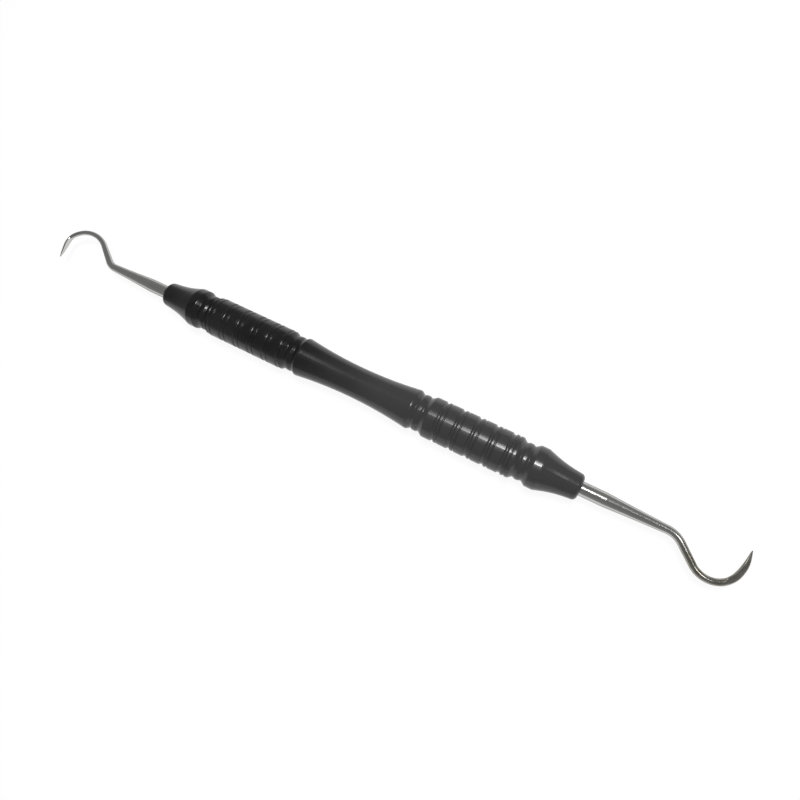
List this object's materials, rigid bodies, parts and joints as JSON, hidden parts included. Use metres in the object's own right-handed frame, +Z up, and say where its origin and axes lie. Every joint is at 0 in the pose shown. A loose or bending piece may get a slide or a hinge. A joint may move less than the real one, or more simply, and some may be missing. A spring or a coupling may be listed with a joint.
{
  "type": "periodontal curette",
  "caption": "Double-ended hand instrument with a waisted, ring-grooved round handle and a slim hooked blade that narrows to a fine toe at each end, for scaling tooth roots",
  "frame": {"origin": "Middle of the overall length and width, on the plane the instrument lies on", "axes": "+X along the handle, +Z up from the surface it lies on; both hooks lie flat, parallel to XY, the one at +X curving to -Y and the one at -X to +Y"},
  "size_m": [0.179, 0.0126, 0.0096],
  "materials": {
    "handle": "black anodised, satin with soft highlights",
    "blade_steel": "satin-ground stainless, a little brighter on the blades"
  },
  "bodies": {
    "root": {"handle": "handle", "working_end_left": "blade_steel", "working_end_right": "blade_steel"}
  },
  "joints": []
}
